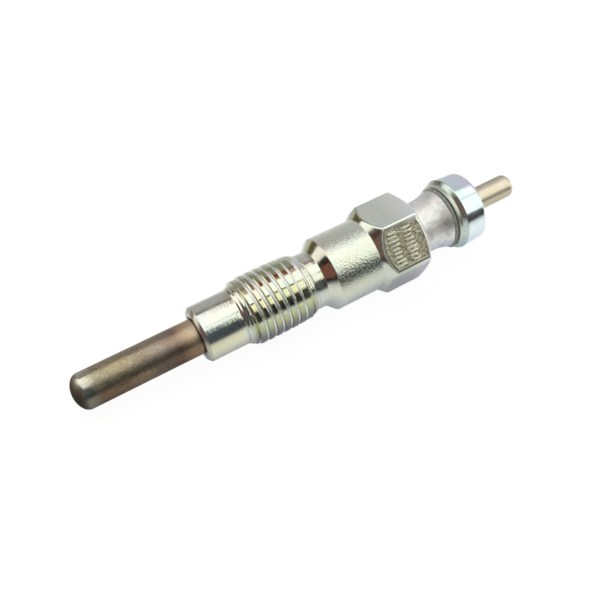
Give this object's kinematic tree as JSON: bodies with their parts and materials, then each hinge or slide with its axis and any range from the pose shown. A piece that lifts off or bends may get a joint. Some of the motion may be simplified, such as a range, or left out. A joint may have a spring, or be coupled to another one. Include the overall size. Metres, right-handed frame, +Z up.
{
  "type": "diesel glow plug",
  "caption": "Sheathed-element diesel glow plug: rounded heater rod in a threaded housing with a sealing cone, hexagon, insulating bush, round collar and bare terminal pin.",
  "frame": {"origin": "on the plug's axis, where the sealing cone meets the relief behind the thread", "axes": "+X along the axis from the heater tip to the terminal pin, +Z up with one flat of the hexagon facing down"},
  "size_m": [0.0722, 0.0138, 0.012],
  "materials": {
    "plated_steel": "bright zinc plate with a faint greenish yellow tint",
    "heat_tinted_alloy": "satin, oxidised brown with heat tints",
    "heating_wire": "dull oxidised wire",
    "regulating_wire": "plain drawn wire",
    "magnesia": "matt compacted powder",
    "brown_rubber": "matt",
    "rod_steel": "smooth, with a pale gold tint",
    "black_rubber": "matt",
    "bush_resin": "matt moulded resin",
    "collar_plate": "bright zinc plate with a bluish tint"
  },
  "bodies": {
    "root": {"housing": "plated_steel", "heater_sheath": "heat_tinted_alloy", "heating_coil": "heating_wire", "regulating_coil": "regulating_wire", "magnesia_fill": "magnesia", "sheath_seal": "brown_rubber", "centre_rod": "rod_steel", "seal_ring": "black_rubber", "insulating_bush": "bush_resin", "terminal_collar": "collar_plate"}
  },
  "joints": []
}
